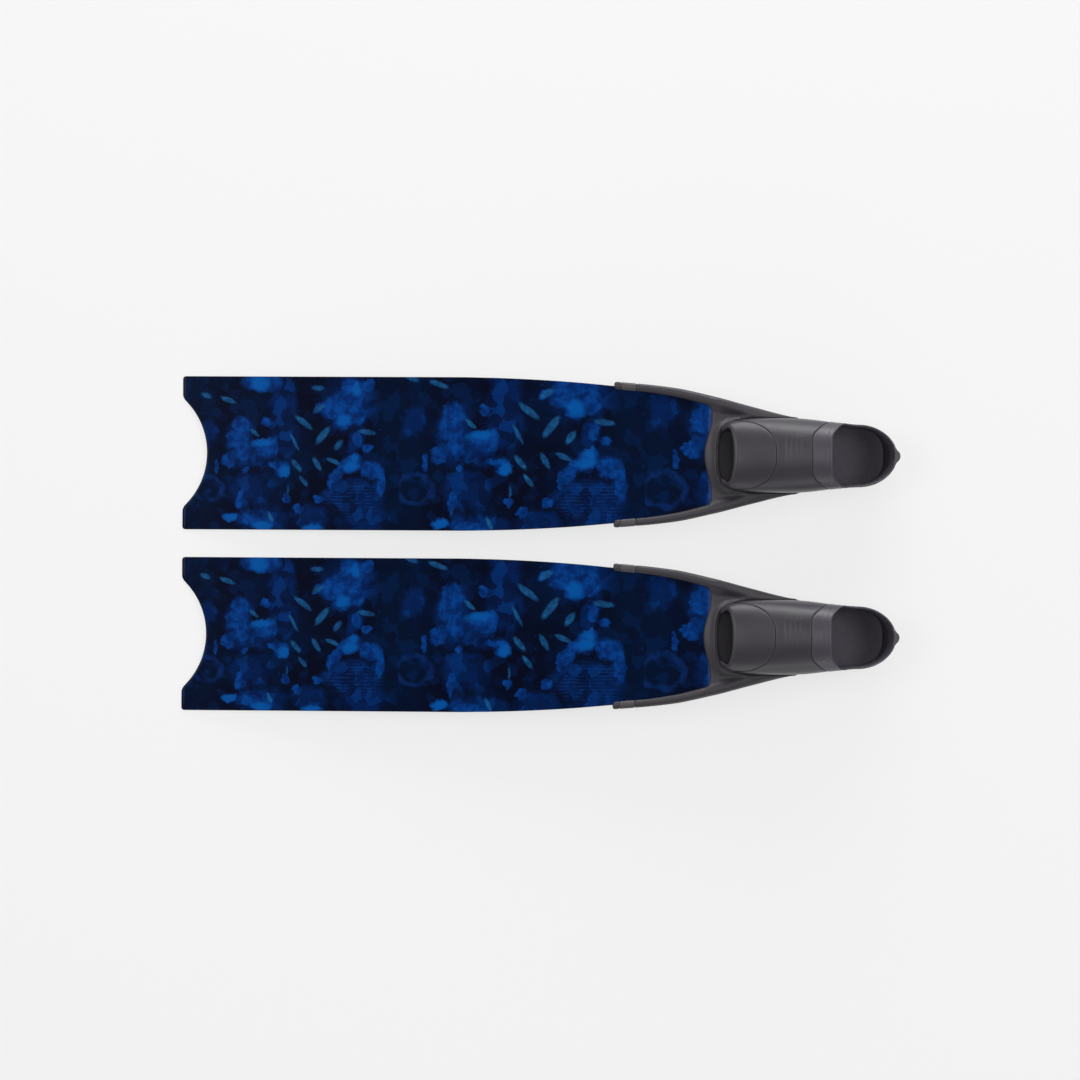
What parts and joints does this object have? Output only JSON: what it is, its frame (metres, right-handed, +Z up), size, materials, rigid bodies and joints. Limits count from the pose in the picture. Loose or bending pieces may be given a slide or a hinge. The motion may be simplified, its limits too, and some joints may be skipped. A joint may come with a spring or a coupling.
{
  "type": "swim fins",
  "caption": "Pair of long-blade swim fins with full foot pockets: flexible notched blades, sole frames with side tendons, soft uppers and heel collars.",
  "frame": {"origin": "on the surface that the fins lie on, under the centre of the pair's bounding box", "axes": "+X from the blade tips towards the heels, +Y across the pair from the right fin to the left fin, +Z up"},
  "size_m": [0.9364, 0.436, 0.1111],
  "materials": {
    "blade_laminate": "glossy clear-coated laminate with a blue water camouflage pattern",
    "hard_rubber": "satin moulded rubber",
    "soft_rubber": "satin moulded rubber",
    "collar_rubber": "satin moulded rubber, slightly lighter",
    "footbed_foam": "matte fine-grained insole",
    "tread_rubber": "matte grooved tread",
    "sleeve_rubber": "satin, slightly lighter than the tendon",
    "screw_steel": "brushed stainless steel",
    "insert_brass": "turned brass"
  },
  "bodies": {
    "left_foot_pocket": {"left_sole_frame": "hard_rubber", "left_toe_cap": "soft_rubber", "left_vamp": "soft_rubber", "left_collar": "collar_rubber", "left_heel_cup": "soft_rubber", "left_footbed": "footbed_foam", "left_heel_tread": "tread_rubber", "left_outer_tip_sleeve": "sleeve_rubber", "left_inner_tip_sleeve": "sleeve_rubber", "left_blade_screws": "screw_steel", "left_screw_inserts": "insert_brass"},
    "left_blade_body": {"left_blade": "blade_laminate"},
    "right_foot_pocket": {"right_sole_frame": "hard_rubber", "right_toe_cap": "soft_rubber", "right_vamp": "soft_rubber", "right_collar": "collar_rubber", "right_heel_cup": "soft_rubber", "right_footbed": "footbed_foam", "right_heel_tread": "tread_rubber", "right_outer_tip_sleeve": "sleeve_rubber", "right_inner_tip_sleeve": "sleeve_rubber", "right_blade_screws": "screw_steel", "right_screw_inserts": "insert_brass"},
    "right_blade_body": {"right_blade": "blade_laminate"}
  },
  "joints": [
    {"name": "left_blade_flex", "type": "hinge", "parent": "left_foot_pocket", "child": "left_blade_body", "pos_m": [0.11, 0.118, 0.05675], "axis": [0, 1, 0], "range_deg": [-30, 30], "stiffness_Nm_per_rad": 9, "springref_deg": -4.01, "deforming": ["left_blade"]},
    {"name": "right_blade_flex", "type": "hinge", "parent": "right_foot_pocket", "child": "right_blade_body", "pos_m": [0.11, -0.118, 0.05675], "axis": [0, 1, 0], "range_deg": [-30, 30], "stiffness_Nm_per_rad": 9, "springref_deg": -4.01, "deforming": ["right_blade"]},
    {"name": "right_fin_lift", "type": "slide", "parent": "left_foot_pocket", "child": "right_foot_pocket", "axis": [0, 0, 1], "range_m": [0, 0.3]}
  ]
}
